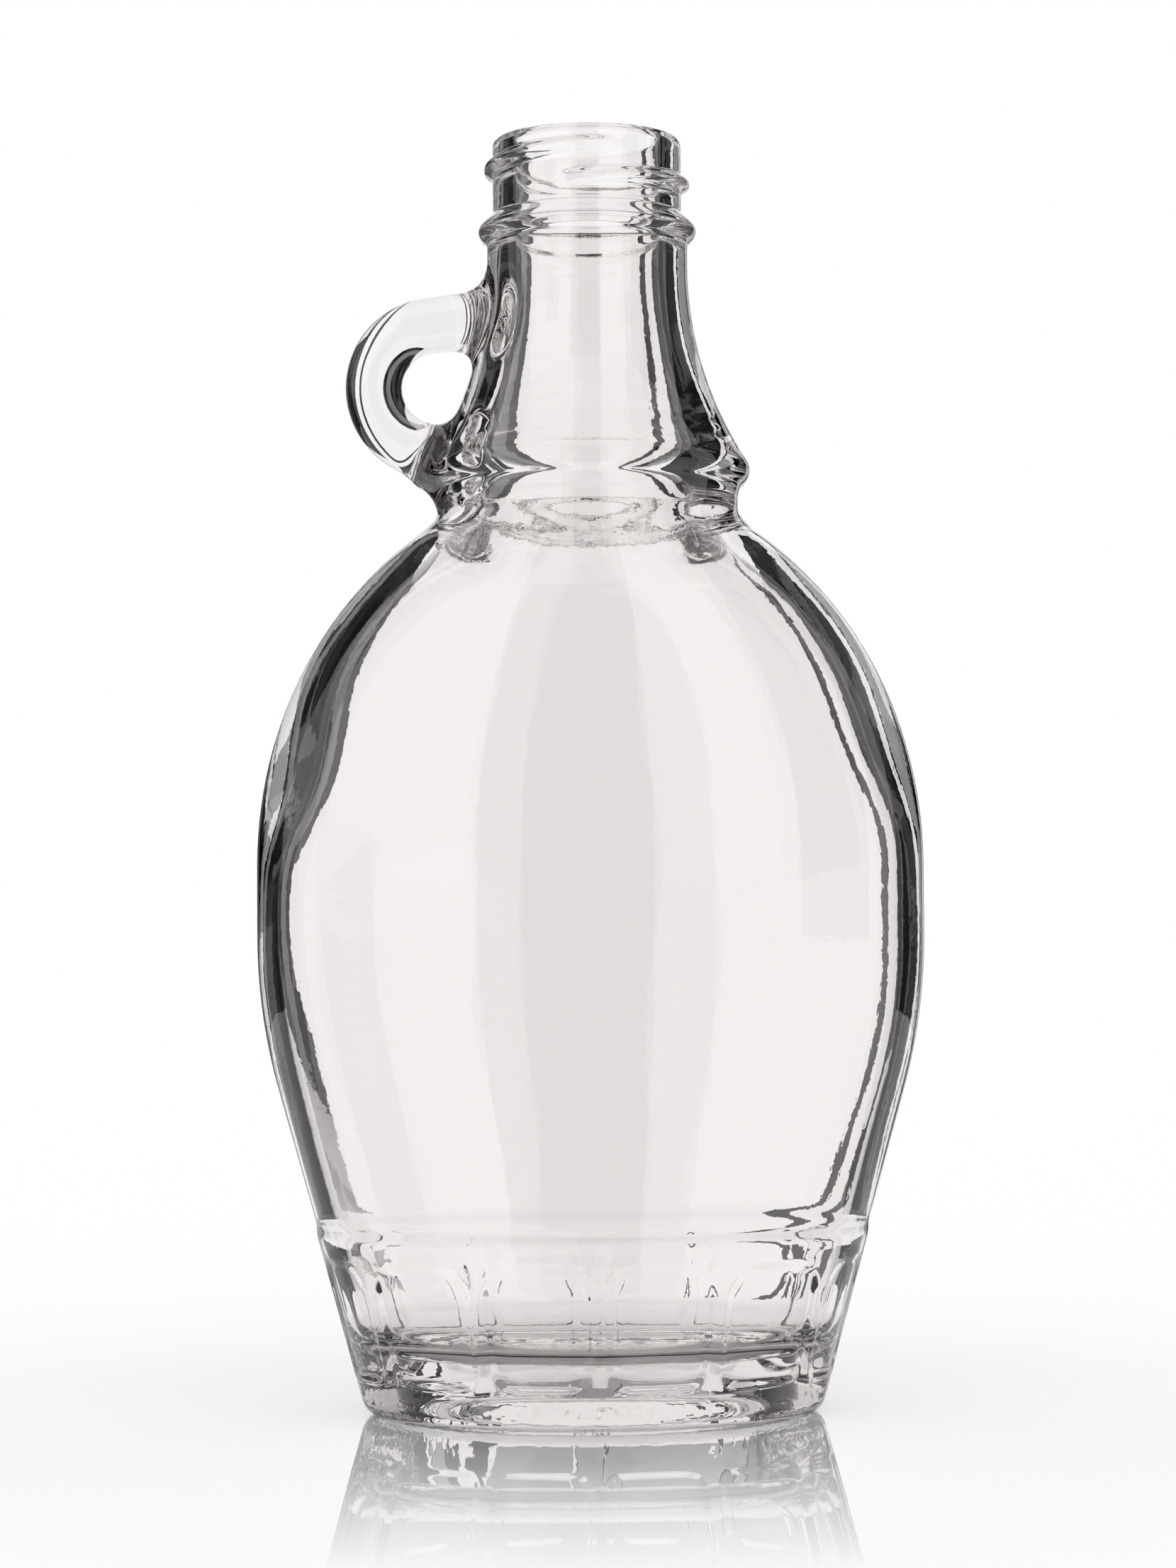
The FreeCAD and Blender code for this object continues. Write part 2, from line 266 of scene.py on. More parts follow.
lay(mouth_radius, mouth_radius, np.linspace(bore_top, bore_low, 20), 0.9)
fall = np.linspace(bore_low, crease_height, 80)[1:]
inner_neck = np.polyval(np.polyfit(neck_inside[:, 1], neck_inside[:, 0], 4), fall)
at_ring = np.abs(fall - ring_height) < ring_margin
lay(inner_neck, inner_neck, fall, np.where(at_ring, 0.3, 1.3))
print("inner neck, radius at its foot:", inner_neck[-1].round(2))

# %% Cavity of the flask
side_wall = 3.0
front_wall = 3.2
crease_wall = 5.7
side_growth = 1.5
front_step_low, front_step_run = 106.0, 12.0
dense_above = 102.0
band_margin = 1.5

fall = np.linspace(crease_height, band_top + band_margin, 200)[1:]
up_side = np.clip((fall - belly_high) / (crease_height - belly_high), 0, 1) ** side_growth
up_front = ease((fall - front_step_low) / front_step_run)
inner_width = side_outline(fall) - side_wall - (crease_wall - side_wall) * up_side
inner_depth = front_outline(fall) - front_wall - (crease_wall - front_wall) * up_front
lay(inner_width, inner_depth, fall, np.where(fall > dense_above, 1.1, 2.0))
print("cavity, half width and half depth:", inner_width.max().round(2), inner_depth.max().round(2))

# %% Inside of the foot, and its floor
flute_depth = 0.6
floor_height = 8.6
inside_heel_radius = 5.0
foot_inset = flute_depth + np.array([side_wall, front_wall])


def foot_inside(z):
    """Half width and half depth of the inside of the foot at a height."""
    return (foot_half_width + foot_side_slope * z - foot_inset[0],
            foot_half_depth + foot_front_slope * z - foot_inset[1])


fall = np.linspace(band_top - band_margin, floor_height + inside_heel_radius, 30)
lay(*foot_inside(fall), fall, 0.9)
turn = np.linspace(0, math.pi / 2, 40)[1:]
fall = floor_height + inside_heel_radius * (1 - np.sin(turn))
inset = inside_heel_radius * (1 - np.cos(turn))
inner_width, inner_depth = (half - inset for half in foot_inside(fall))
lay(inner_width, inner_depth, fall, 0.6)
share = np.linspace(1, 0, 60)[1:]
lay(inner_width[-1] * share, inner_depth[-1] * share, floor_height, 1.5)
print("floor of the inside, half width and half depth:",
      inner_width[-1].round(2), inner_depth[-1].round(2))

# %% [markdown]
# ## Fire-polished edges
# Hot glass has no sharp corners. The whole ribbon is read at even small steps and softened with a
# bell-shaped average a few tenths of a millimetre wide, which rounds the crease, the bead and the
# step above the band at once. Then rows are picked from it, close together where the shape turns
# quickly and far apart on the plain walls.

# %% Soften the ribbon and pick its rows
fine_step = 0.08
softness = 0.32
spacing_softness = 6 * softness


def read_evenly(path, step):
    """Points of a path at even steps along it."""
    strides = np.linalg.norm(np.diff(path[:, :3], axis=0), axis=1)
    lengths = np.concatenate([[0], np.cumsum(strides)])
    marks = np.linspace(0, lengths[-1], int(lengths[-1] / step))
    return np.column_stack([np.interp(marks, lengths, column) for column in path.T])


def soften(column, reach, step):
    """Bell-shaped average along the path, which leaves both ends where they are."""
    half = int(4 * reach / step)
    bell = np.exp(-0.5 * (np.arange(-half, half + 1) * step / reach) ** 2)
    padded = np.pad(column, half, mode="reflect", reflect_type="odd")
    return np.convolve(padded, bell / bell.sum(), mode="valid")


fine = read_evenly(np.vstack(ribbon), fine_step)
spacing = np.exp(soften(np.log(fine[:, 3]), spacing_softness, fine_step))
fine = np.column_stack([soften(fine[:, axis], softness, fine_step) for axis in range(3)])
pace = np.cumsum(fine_step / spacing)
marks = np.linspace(pace[0], pace[-1], round(pace[-1]))
width, depth, height = (np.interp(marks, pace, column) for column in fine.T)
rim_row = int(np.argmax(height))
print("rows:", len(height), "of them outside:", rim_row)

# %% [markdown]
# ## Columns and flutes
# Twelve ribs stand on the foot, with a recessed panel between each pair. The columns of the mesh
# are crowded at the ribs' sloping sides, so that the slopes are real geometry, and spread over the
# panels. A panel is a rectangle with rounded corners, wrapped on the oval: the distance to its
# edge, measured along the glass, gives the depth there. It drops by a small step at the edge and
# then dishes in gently, as a worn mould leaves it.

# %% Columns of the mesh
rib_quarter = np.array([0.0, 27.0, 57.0, 90.0])
rib_half = np.concatenate([rib_quarter, 180 - rib_quarter[-2::-1]])
ribs = np.radians(np.concatenate([rib_half, 360 - rib_half[-2:0:-1]]))
rib_crest_half = 0.65
rib_slope_run = 1.2
panel_steps = 8
mid_flute_half_width, mid_flute_half_depth = 33.6, 21.9
dense = np.linspace(0, 2 * math.pi, 7201)


def girth(half_width, half_depth):
    """Distance along an oval from the front, for each of the dense angles."""
    speed = np.hypot(half_width * np.cos(dense), half_depth * np.sin(dense))
    return np.concatenate([[0], np.cumsum((speed[1:] + speed[:-1]) / 2 * np.diff(dense))])


around = girth(mid_flute_half_width, mid_flute_half_depth)
rib_places = np.interp(ribs, dense, around)
slope_steps = rib_crest_half + rib_slope_run * np.linspace(0, 1, 5)
panel_start = slope_steps[-1]
places = []
for here, ahead in zip(rib_places, np.append(rib_places[1:], around[-1])):
    places.append(here)
    places.extend(here + slope_steps)
    places.extend(np.linspace(here + panel_start, ahead - panel_start, panel_steps + 1)[1:-1])
    places.extend(ahead - slope_steps[::-1])
columns = np.interp(np.array(places), around, dense)
print("columns:", len(columns))

# %% Skin points and their outward directions
tiny = 1e-6
sine, cosine = np.sin(columns), np.cos(columns)
grid = np.broadcast_arrays(width[:, None] * sine, -depth[:, None] * cosine, height[:, None])
skin = np.stack(grid, axis=-1)
outward = np.stack([sine / np.maximum(width[:, None], tiny),
                    -cosine / np.maximum(depth[:, None], tiny)], axis=-1)
outward /= np.linalg.norm(outward, axis=-1, keepdims=True)
print("skin points:", skin.shape[0] * skin.shape[1])

# %% Press the flutes
flute_low_corner, flute_high_corner = 2.0, 4.0
flute_edge = rib_crest_half + rib_slope_run / 2
flute_margin = 2.0
step_share = 0.75
dish_run = 4.0


def flute_share(row):
    """How deep each point of a row lies in its flute, from 0 on the ribs to 1 in the panels."""
    around = girth(width[row], depth[row])
    here = np.interp(columns, dense, around)
    rib_places = np.append(np.interp(ribs, dense, around), around[-1])
    panel = np.clip(np.searchsorted(rib_places, here, side="right") - 1, 0, len(ribs) - 1)
    middle = (rib_places[panel] + rib_places[panel + 1]) / 2
    half = (rib_places[panel + 1] - rib_places[panel]) / 2 - flute_edge
    level = height[row] - (flute_low + flute_high) / 2
    corner = flute_high_corner if level > 0 else flute_low_corner
    aside = np.abs(here - middle) - (half - corner)
    above = abs(level) - ((flute_high - flute_low) / 2 - corner)
    past_corner = np.hypot(np.maximum(aside, 0), max(above, 0))
    outside = past_corner + np.minimum(np.maximum(aside, above), 0) - corner
    step, dish = ease(0.5 - outside / rib_slope_run), ease(-outside / dish_run)
    return step_share * step + (1 - step_share) * dish


for row in range(rim_row):
    if flute_low - flute_margin < height[row] < flute_high + flute_margin:
        skin[row, :, :2] -= outward[row] * (flute_depth * flute_share(row))[:, None]
print("flutes pressed:", len(ribs), "with a depth of", flute_depth, "mm")

# %% [markdown]
# ## Screw thread
# The thread is a single right-hand ridge of a little more than one turn that fades into the wall
# at both ends. It could be swept as its own piece, but in glass it is one with the wall, so the
# wall itself is pushed out along the helix.

# %% Push out the thread
thread_radius = 13.7
thread_pitch = 4.2
thread_mid_height = 162.9
thread_start, thread_end = -113.0, 293.0
thread_fade = 34.0
thread_foot_half, thread_crest_half = 1.35, 0.3
thread_low, thread_high = bead_outline[-1, 1], total_height - 0.3
bearing = np.degrees(np.arctan2(-cosine, sine))
for row in range(rim_row):
    if thread_low < height[row] < thread_high:
        lift = np.zeros(len(columns))
        for lap in (-360, 0, 360):
            angle = bearing + lap
            off = np.abs(height[row] - thread_mid_height - thread_pitch * angle / 360)
            from_end = np.minimum(angle - thread_start, thread_end - angle)
            ridge = ease((thread_foot_half - off) / (thread_foot_half - thread_crest_half))
            lift = np.maximum(lift, ridge * ease(from_end / thread_fade))
        skin[row, :, :2] += outward[row] * ((thread_radius - finish_radius) * lift)[:, None]
print("thread turns:", round((thread_end - thread_start) / 360, 2))

# %% [markdown]
# ## Waves of the blown inside
# No mould touches the inside, so its wall thickness drifts by a tenth or two of a millimetre.
# Those long soft waves are what makes the light bands on real glass wander. A few sine waves from
# a fixed seed stand in for them. The inside also keeps traces of how the glass ran: a fine ring in
# the neck where two blows met, a dimple behind each handle root, where glass was drawn into the
# handle, a thick spot at each side of the belly, and a floor that leans a little.

# %% Wave the inside
waves = np.random.default_rng(11)
wave_count = 9
wave_height = 0.035
shortest_wave, longest_wave = 28, 80
calm_floor, calm_floor_run = 9, 14
calm_mouth, calm_mouth_run = 150, 20
inside_rows = range(rim_row, len(height))
for wave in range(wave_count):
    turns = waves.integers(1, 5)
    wave_length = waves.uniform(shortest_wave, longest_wave)
    climb_rate = 2 * math.pi / wave_length * waves.choice([-1, 1])
    start = waves.uniform(0, 2 * math.pi)
    for row in inside_rows:
        above_floor = ease((height[row] - calm_floor) / calm_floor_run)
        below_mouth = ease((calm_mouth - height[row]) / calm_mouth_run)
        swell = np.sin(turns * columns + climb_rate * height[row] + start)
        push = wave_height * (above_floor * below_mouth) * swell
        skin[row, :, :2] += outward[row] * push[:, None]
print("waves on the inside:", wave_count)

# %% Ring, dimples, thick spots and floor of the inside
# Each dimple or thick spot: side, height, how far the inside moves outward, and its spread.
dimples = ((-1, 141.8, 0.15, 2.8), (-1, 125.2, 0.35, 2.4))
thick_spots = ((-1, 84.0, -1.5, 9.0), (1, 88.0, -1.1, 9.0))
ring_depth, ring_half = 0.12, 0.4
ring_wander = 0.25 * np.sin(3 * columns + 1.0) + 0.15 * np.sin(7 * columns)
floor_lean, floor_lean_run = 0.07, 12
for row in inside_rows:
    off_ring = height[row] - (ring_height + ring_wander)
    push = -ring_depth * np.exp(-((off_ring / ring_half) ** 2))
    for side, level, sink, spread in dimples + thick_spots:
        aside = np.hypot(skin[row, :, 1], height[row] - level)
        push = push + np.where(side * sine > 0, sink * np.exp(-((aside / spread) ** 2)), 0)
    skin[row, :, :2] += outward[row] * push[:, None]
    near_floor = 1 - ease((height[row] - floor_height) / floor_lean_run)
    skin[row, :, 2] += floor_lean * skin[row, :, 1] * near_floor
print("dimples behind the handle:", len(dimples), "thick spots at the sides:", len(thick_spots))

# %% [markdown]
# ## Loop handle
# The handle is a bent glass rod that melts into the neck at both ends. A Boolean would leave a
# sharp seam, so the skin is opened at two places on the side of the neck, a tube joins the
# openings, and the tube and the skin around it are pulled onto one smooth shape: the neck and the
# rod, blended where they meet.

# %% Gap to the neck
neck_zone_low = 100.0
fine_out = fine[: int(np.argmax(fine[:, 2]))]
fine_out = fine_out[(fine_out[:, 2] > neck_zone_low) & (fine_out[:, 2] < bead_bottom)]
fine_lean = 1 / np.hypot(1, np.gradient(fine_out[:, 0], fine_out[:, 2]))


def neck_gap(points):
    """Distance of points outside the neck, roughly, negative inside the glass."""
    half_width = np.interp(points[:, 2], fine_out[:, 2], fine_out[:, 0])
    half_depth = np.interp(points[:, 2], fine_out[:, 2], fine_out[:, 1])
    lean = np.interp(points[:, 2], fine_out[:, 2], fine_lean)
    return (np.hypot(points[:, 0] / half_width, points[:, 1] / half_depth) - 1) * half_width * lean


print("rows that describe the neck:", len(fine_out))

# %% Gap to the bent rod
loop_x, loop_z = -20.1, 135.75
loop_radius = 8.45
upper_turn, lower_turn = math.radians(97), math.radians(240)
rod_half_thickness = 3.75
rod_half_depth = 3.9


def arm_line(turn, way):
    """Start and direction of the straight arm that leaves the loop at an angle, as x and z."""
    start = (loop_x + loop_radius * math.cos(turn), loop_z + loop_radius * math.sin(turn))
    return np.array([start, (-way * math.sin(turn), way * math.cos(turn))])


def arm_gap(points, arm):
    """Distance of points from the middle of an arm, seen from the front."""
    offset = points[:, [0, 2]] - arm[0]
    along = np.clip(offset @ arm[1], 0, None)
    return np.linalg.norm(offset - along[:, None] * arm[1], axis=1)


def rod_gap(points):
    """Distance of points outside the rod, roughly: an arc with two straight arms into the neck."""
    across, up = points[:, 0] - loop_x, points[:, 2] - loop_z
    turn = np.arctan2(up, across) % (2 * math.pi)
    in_bend = (turn > upper_turn) & (turn < lower_turn)
    bend = np.where(in_bend, np.abs(np.hypot(across, up) - loop_radius), np.inf)
    arms = np.minimum(arm_gap(points, upper_arm), arm_gap(points, lower_arm))
    off = np.minimum(bend, arms) / rod_half_thickness
    return (np.hypot(off, points[:, 1] / rod_half_depth) - 1) * rod_half_thickness


upper_arm, lower_arm = arm_line(upper_turn, -1), arm_line(lower_turn, 1)
print("arms leave the loop at", upper_arm[0].round(2), lower_arm[0].round(2))

# %% Blend of neck and rod
root_blend = 4.0
nudge = 0.01


def glass_gap(points):
    """The nearer of neck and rod, blended where they meet."""
    neck, rod = neck_gap(points), rod_gap(points)
    mix = np.clip(0.5 + 0.5 * (rod - neck) / root_blend, 0, 1)
    return rod + (neck - rod) * mix - root_blend * mix * (1 - mix)


def onto_glass(points):
    """Move points along the slope of the gap until they lie on the blended shape."""
    for _ in range(2):
        slope = np.stack([(glass_gap(points + step) - glass_gap(points - step)) / (2 * nudge)
                          for step in nudge * np.eye(3)], axis=-1)
        points = points - slope * (glass_gap(points) / (slope**2).sum(axis=1))[:, None]
    return points


print("neck and rod blend over", root_blend, "mm")

# %% Openings for the two roots
handle_side = 1.5 * math.pi
root_half_angle = math.radians(14)
lower_root_low, lower_root_high = 123.2, 130.2
upper_root_middle = 144.9


def row_at(level):
    """First row of the outside that lies at a height or above it."""
    return int(np.searchsorted(height[:rim_row], level))


side_column = int(np.argmin(np.abs(columns - handle_side)))
reach = int(np.sum(np.abs(columns - handle_side) < root_half_angle)) // 2
first_column, last_column = side_column - reach, side_column + reach
low_row = row_at(lower_root_low)
root_rows = row_at(lower_root_high) - low_row
high_row = row_at(upper_root_middle) - root_rows // 2


def opening(outer_row, inner_row):
    """Grid places round an opening, from the side away from the loop's hole, back first."""
    step = 1 if inner_row > outer_row else -1
    loop = [(outer_row, column) for column in range(side_column, first_column, -1)]
    loop += [(row, first_column) for row in range(outer_row, inner_row, step)]
    loop += [(inner_row, column) for column in range(first_column, last_column)]
    loop += [(row, last_column) for row in range(inner_row, outer_row, -step)]
    return loop + [(outer_row, column) for column in range(last_column, side_column, -1)]


upper_loop = opening(high_row + root_rows, high_row)
lower_loop = opening(low_row, low_row + root_rows)
print("points round each root:", len(upper_loop), len(lower_loop))

# %% Number the points and join them with faces
row_count, column_count = skin.shape[:2]
points = skin[1:-1].reshape(-1, 3)
points = np.vstack([points, [(0, 0, height[0]), (0, 0, height[-1])]])
underside_middle, floor_middle = len(points) - 2, len(points) - 1


def number(row, column):
    """Place of a grid point in the list of points."""
    return (row - 1) * column_count + column % column_count


def in_opening(row, column):
    """True for a grid face that a handle root takes away."""
    beside = first_column <= column < last_column
    return beside and any(start <= row < start + root_rows for start in (low_row, high_row))


faces = []
for row in range(1, row_count - 2):
    for column in range(column_count):
        if not in_opening(row, column):
            faces.append((number(row, column), number(row, column + 1),
                          number(row + 1, column + 1), number(row + 1, column)))
last_row = row_count - 2
for column in range(column_count):
    faces.append((underside_middle, number(1, column + 1), number(1, column)))
    faces.append((floor_middle, number(last_row, column), number(last_row, column + 1)))
print("faces of the skin:", len(faces))

# %% Middles of the handle's rings
rod_step = 0.45
upper_arm_length, upper_arm_rings = 5.6, 11
lower_arm_length, lower_arm_rings = 2.4, 5
loop_rings = round(loop_radius * (lower_turn - upper_turn) / rod_step)
ring_middles = []
for mark in np.linspace(upper_arm_length, 0, upper_arm_rings + 1)[:-1]:
    ring_middles.append((*(upper_arm[0] + mark * upper_arm[1]), upper_turn))
for turn in np.linspace(upper_turn, lower_turn, loop_rings):
    ring_middles.append((loop_x + loop_radius * math.cos(turn),
                         loop_z + loop_radius * math.sin(turn), turn))
for mark in np.linspace(0, lower_arm_length, lower_arm_rings + 1)[1:]:
    ring_middles.append((*(lower_arm[0] + mark * lower_arm[1]), lower_turn))
print("rings along the rod:", len(ring_middles))

# %% Tube of the handle
upper_ring = np.array([number(*place) for place in upper_loop])
lower_ring = np.array([number(*place) for place in lower_loop])
root_aside, root_level = points[upper_ring, 1], points[upper_ring, 2]
clock = np.unwrap(np.arctan2(root_aside / rod_half_depth,
                             (root_level - root_level.mean()) / rod_half_thickness))
lift = rod_half_thickness * np.cos(clock)
rings = [upper_ring]
for x, z, turn in ring_middles:
    ring = np.column_stack([x + lift * math.cos(turn), rod_half_depth * np.sin(clock),
                            z + lift * math.sin(turn)])
    rings.append(np.arange(len(points), len(points) + len(ring)))
    points = np.vstack([points, ring])
rings.append(lower_ring)
for ring, after in zip(rings, rings[1:]):
    for here, there in zip(range(len(ring)), np.roll(range(len(ring)), -1)):
        faces.append((ring[here], ring[there], after[there], after[here]))
print("rings of the handle:", len(rings), "faces in all:", len(faces))

# %% Points that may move, and the edges that tie them
rows_below, rows_above = 14, 18
handle_half_x = -8.0
tube_points = np.arange(floor_middle + 1, len(points))
outer_points = np.arange(number(low_row - rows_below, 0),
                         number(high_row + root_rows + rows_above, 0))
in_use = np.zeros(len(points), bool)
in_use[[place for face in faces for place in face]] = True
by_rod = rod_gap(points[outer_points]) < root_blend
near = outer_points[by_rod & (points[outer_points, 0] < handle_half_x)]
loose = np.concatenate([near[in_use[near]], tube_points])
is_loose = np.zeros(len(points), bool)
is_loose[loose] = True
ties = set()
for face in faces:
    for one, other in zip(face, face[1:] + face[:1]):
        if is_loose[one] or is_loose[other]:
            ties.add((min(one, other), max(one, other)))
ties = np.array(sorted(ties))
ties = np.vstack([ties, ties[:, ::-1]])
tie_count = np.bincount(ties[:, 0], minlength=len(points))
print("loose points:", len(loose), "ties:", len(ties) // 2)

# %% Pull the handle and its roots onto the smooth shape
settle_rounds = 90
stay_share = 0.4
for _ in range(settle_rounds):
    pull = np.zeros_like(points)
    np.add.at(pull, ties[:, 0], points[ties[:, 1]])
    average = pull[loose] / tie_count[loose, None]
    points[loose] = onto_glass(points[loose] * stay_share + average * (1 - stay_share))
left_off = float(np.abs(glass_gap(points[loose])).max())
print("settled points are off the smooth shape by at most", round(left_off, 3), "mm")

# %% Bottle mesh
MM = 0.001
new_place = np.cumsum(in_use) - 1
bottle_mesh = bpy.data.meshes.new("glass_bottle")
bottle_faces = [new_place[list(face)].tolist() for face in faces]
bottle_mesh.from_pydata((points[in_use] * MM).tolist(), [], bottle_faces)
bottle_mesh.polygons.foreach_set("use_smooth", np.ones(len(faces), bool))
bottle_mesh.update()
bottle = bpy.data.objects.new("glass_bottle", bottle_mesh)
bpy.context.collection.objects.link(bottle)
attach(bottle, "root")
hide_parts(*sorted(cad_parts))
print("bottle points:", int(in_use.sum()), "faces:", len(faces),
      "valid:", not bottle_mesh.validate())

# %% [markdown]
# ## Clear glass
# Soda-lime glass bends light by 1.52 and takes a little of it at each wall, a touch more blue than
# red. A mould is never mirror smooth: its fine grain prints a ripple about a millimetre wide on the
# glass, too shallow to see by itself, which breaks the edges of the dark bands into dots, and its
# wear leaves a slow ripple of a centimetre. Two noises of those sizes drive the bump, and a third,
# larger one drifts between fully clear and a trace of haze. The standing ring and the hollow inside
# it are stippled, as on every bottle that has to slide while it is hot.

# %% Glass colour
glass_index = 1.52
wall_colour = (0.959, 0.939, 0.934, 1)
depth_colour, depth_density = (0.12, 0.02, 0.0, 1), 5.0
clear_glass = bpy.data.materials.new("clear_glass")
clear_glass.use_nodes = True
nodes, links = clear_glass.node_tree.nodes, clear_glass.node_tree.links
shader = nodes["Principled BSDF"]
shader.inputs["Base Color"].default_value = wall_colour
shader.inputs["Transmission Weight"].default_value = 1.0
shader.inputs["IOR"].default_value = glass_index
tint = nodes.new("ShaderNodeVolumeAbsorption")
tint.inputs["Color"].default_value = depth_colour
tint.inputs["Density"].default_value = depth_density
links.new(tint.outputs["Volume"], nodes["Material Output"].inputs["Volume"])
bottle_mesh.materials.append(clear_glass)
print("glass bends light by", glass_index)


# %% Node helpers
def noise(scale, detail):
    """Noise in the bottle's own metres, with so many lumps to the metre."""
    texture = nodes.new("ShaderNodeTexNoise")
    texture.inputs["Scale"].default_value = scale
    texture.inputs["Detail"].default_value = detail
    links.new(place.outputs["Object"], texture.inputs["Vector"])
    return texture.outputs["Fac"]


def bump(height_socket, depth, below=None):
    """Bump of a depth in metres, on top of another bump if there is one."""
    layer = nodes.new("ShaderNodeBump")
    layer.inputs["Distance"].default_value = depth
    links.new(height_socket, layer.inputs["Height"])
    if below:
        links.new(below, layer.inputs["Normal"])
    return layer.outputs["Normal"]


def graded(socket, start, end, at_start, at_end):
    """Value that runs evenly from at_start to at_end while a socket goes from start to end."""
    ramp = nodes.new("ShaderNodeMapRange")
    ramp.inputs["From Min"].default_value = start
    ramp.inputs["From Max"].default_value = end
    ramp.inputs["To Min"].default_value = at_start
    ramp.inputs["To Max"].default_value = at_end
    links.new(socket, ramp.inputs["Value"])
    return ramp.outputs["Result"]


def product(first, second, clamp=False):
    """Product of two sockets, held between 0 and 1 if asked."""
    times = nodes.new("ShaderNodeMath")
    times.operation = "MULTIPLY"
    times.use_clamp = clamp
    links.new(first, times.inputs[0])
    links.new(second, times.inputs[1])
    return times.outputs["Value"]


place = nodes.new("ShaderNodeTexCoord")
print("glass nodes so far:", len(nodes))

# %% Grain, stipple and haze of the glass
ripple_scale, ripple_depth = 110, 0.00002
grain_scale, grain_depth = 800, 0.000007
stipple_scale, stipple_depth = 650.0, 0.00005
stipple_full, stipple_end = 0.002, 0.0045
haze_scale, haze_most = 60, 0.015
haze_start, haze_full = 0.4, 0.7

slow_ripple = bump(noise(ripple_scale, 1), ripple_depth)
grain = bump(noise(grain_scale, 2), grain_depth, slow_ripple)
upright = nodes.new("ShaderNodeSeparateXYZ")
links.new(place.outputs["Object"], upright.inputs["Vector"])
near_board = graded(upright.outputs["Z"], stipple_full, stipple_end, 1.0, 0.0)
knurls = nodes.new("ShaderNodeTexVoronoi")
knurls.inputs["Scale"].default_value = stipple_scale
links.new(place.outputs["Object"], knurls.inputs["Vector"])
stipple = product(knurls.outputs["Distance"], near_board)
links.new(bump(stipple, stipple_depth, grain), shader.inputs["Normal"])
haze = graded(noise(haze_scale, 2), haze_start, haze_full, 0.0, haze_most)
links.new(haze, shader.inputs["Roughness"])
print("glass nodes:", len(nodes))

# %% [markdown]
# ## Floor
# The bottle stands on a white polished board. The board shows a clear mirror image close to the
# foot, which fades out a hand's width away. A mirror mixed into a white matt board does this, with
# a Fresnel share, because a polished board mirrors most at a low angle, and with a spot of polish
# that ends where the image has faded.

# %% Floor board
floor_radius = 3.0


def matt_material(name, level):
    """Matt surface of a grey level, without shine."""
    material = bpy.data.materials.new(name)
    material.use_nodes = True
    matt = material.node_tree.nodes["Principled BSDF"]
    matt.inputs["Base Color"].default_value = (level, level, level, 1)
    matt.inputs["Roughness"].default_value = 1.0
    matt.inputs["Specular IOR Level"].default_value = 0.0
    return material


floor_mesh = bpy.data.meshes.new("studio_floor")
edge = [(floor_radius * math.cos(turn), floor_radius * math.sin(turn), 0)
        for turn in np.linspace(0, 2 * math.pi, 97)[:-1]]
floor_mesh.from_pydata(edge, [], [tuple(range(len(edge)))])
floor = bpy.data.objects.new("studio_floor", floor_mesh)
bpy.context.collection.objects.link(floor)
white_board = matt_material("white_board", 1.0)
floor_mesh.materials.append(white_board)
print("floor radius in metres:", floor_radius)

# %% Polish of the board
polish_middle = (0.0, -0.03)
polish_half_width, polish_half_depth = 0.09, 0.1
polish_full, polish_gain = 0.15, 1.6
polish_index = 1.75
polish_roughness = 0.02
nodes, links = white_board.node_tree.nodes, white_board.node_tree.links
place = nodes.new("ShaderNodeTexCoord")
spot = nodes.new("ShaderNodeMapping")
spot.vector_type = "TEXTURE"
spot.inputs["Location"].default_value = (*polish_middle, 0)
spot.inputs["Scale"].default_value = (polish_half_width, polish_half_depth, 1)
links.new(place.outputs["Object"], spot.inputs["Vector"])
away = nodes.new("ShaderNodeVectorMath")
away.operation = "LENGTH"
links.new(spot.outputs["Vector"], away.inputs[0])
fade = graded(away.outputs["Value"], polish_full, 1.0, polish_gain, 0.0)
grazing = nodes.new("ShaderNodeFresnel")
grazing.inputs["IOR"].default_value = polish_index
mirror = nodes.new("ShaderNodeBsdfGlossy")
mirror.inputs["Color"].default_value = (1, 1, 1, 1)
mirror.inputs["Roughness"].default_value = polish_roughness
blend = nodes.new("ShaderNodeMixShader")
links.new(product(fade, grazing.outputs["Fac"]), blend.inputs["Fac"])
links.new(nodes["Principled BSDF"].outputs["BSDF"], blend.inputs[1])
links.new(mirror.outputs["BSDF"], blend.inputs[2])
links.new(blend.outputs["Shader"], nodes["Material Output"].inputs["Surface"])
print("board nodes:", len(nodes))

# %% [markdown]
# ## Dark cards
# Clear glass on white vanishes unless its edges have something dark to bend into view. Dark cards
# stand in a ring round the bottle, far away, and reach along the board towards it. The eye never
# meets them straight: they are seen only through the glass and in its shine, and they neither shade
# the board nor take light from it.
# The part of the board near the bottle needs care: a dark card there would show right through the
# walls when one looks down on the bottle. So the near cards are there only for light that was
# already thrown back inside the glass, which is what happens in its edges. A grey card straight
# behind the bottle works in the same way: only the bottle's mirror image on the board meets it,
# which sets that image off from the white board.

